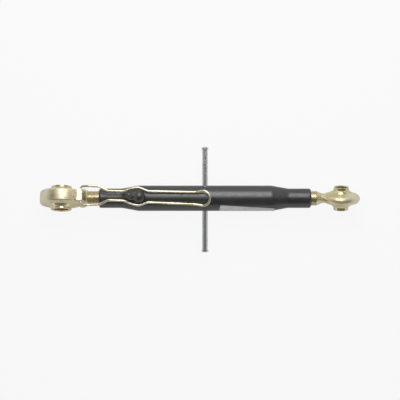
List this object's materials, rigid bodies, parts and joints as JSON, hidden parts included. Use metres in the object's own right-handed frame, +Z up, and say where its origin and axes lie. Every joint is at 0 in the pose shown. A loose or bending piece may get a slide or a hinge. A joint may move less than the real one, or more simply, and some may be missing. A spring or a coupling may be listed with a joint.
{
  "type": "tractor top link",
  "caption": "Adjustable three-point top link: swaged turnbuckle tube, threaded eyes with captive balls, sliding tommy bar and a spring wire lock round a peg.",
  "frame": {"origin": "centre of the tractor-end ball, on the link's axis", "axes": "+X along the link to the implement end, +Y along the tommy bar, +Z up, to the side where the wire lock and its peg lie"},
  "size_m": [0.6937, 0.2289, 0.1008],
  "materials": {
    "black_paint": "satin black",
    "forged_gold": "yellow zinc plate",
    "spindle_gold": "yellow zinc plate",
    "ball_gold": "yellow zinc plate",
    "lug_gold": "yellow zinc plate",
    "wire_gold": "yellow zinc plate",
    "bar_zinc": "bright zinc plate",
    "inner_steel": "plain steel"
  },
  "bodies": {
    "tractor_end": {"tractor_eye": "forged_gold", "tractor_spindle": "spindle_gold", "tractor_snap_ring": "inner_steel", "lock_lug": "lug_gold", "lug_weld": "lug_gold"},
    "tractor_ball": {"tractor_ball": "ball_gold"},
    "wire_lock": {"wire_lock": "wire_gold"},
    "tractor_stop_ring": {"tractor_stop_ring": "inner_steel"},
    "tube": {"turnbuckle_tube": "black_paint", "lock_peg": "black_paint", "peg_weld": "black_paint"},
    "tommy_bar": {"tommy_bar": "bar_zinc"},
    "implement_end": {"implement_eye": "forged_gold", "implement_spindle": "spindle_gold", "implement_snap_ring": "inner_steel"},
    "implement_stop_ring": {"implement_stop_ring": "inner_steel"},
    "implement_ball": {"implement_ball": "ball_gold"}
  },
  "joints": [
    {"name": "tractor_swivel", "type": "hinge", "parent": "tractor_end", "child": "tractor_ball", "pos_m": [0, 0, 0], "axis": [1, 0, 0], "range_deg": [-13, 13]},
    {"name": "lock_swing", "type": "hinge", "parent": "tractor_end", "child": "wire_lock", "pos_m": [0.045, 0.00593, 0.02941], "axis": [0, -0.9803, 0.1977], "range_deg": [0, 155], "deforming": ["wire_lock"]},
    {"name": "tube_turn", "type": "hinge", "parent": "tractor_end", "child": "tractor_stop_ring", "pos_m": [0, 0, 0], "axis": [1, 0, 0], "range_deg": [-1440, 14400]},
    {"name": "tube_travel", "type": "slide", "parent": "tractor_stop_ring", "child": "tube", "axis": [1, 0, 0], "range_m": [-0.0121, 0.1201]},
    {"name": "tommy_slide", "type": "slide", "parent": "tube", "child": "tommy_bar", "axis": [0, 1, 0], "range_m": [-0.0775, 0.0835]},
    {"name": "implement_travel", "type": "slide", "parent": "tractor_end", "child": "implement_end", "axis": [1, 0, 0], "range_m": [-0.0241, 0.2401]},
    {"name": "implement_ring_spin", "type": "hinge", "parent": "implement_end", "child": "implement_stop_ring", "pos_m": [0.6067, 0, 0], "axis": [1, 0, 0], "range_deg": [-1441, 14401]},
    {"name": "implement_swivel", "type": "hinge", "parent": "implement_end", "child": "implement_ball", "pos_m": [0.6067, 0, 0], "axis": [1, 0, 0], "range_deg": [-17, 17]}
  ],
  "couplings": [
    {"joint": "tube_travel", "follows": "tube_turn", "m_per_rad": 0.00047746},
    {"joint": "implement_travel", "follows": "tube_turn", "m_per_rad": 0.00095493},
    {"joint": "implement_ring_spin", "follows": "tube_turn", "ratio": 1}
  ]
}
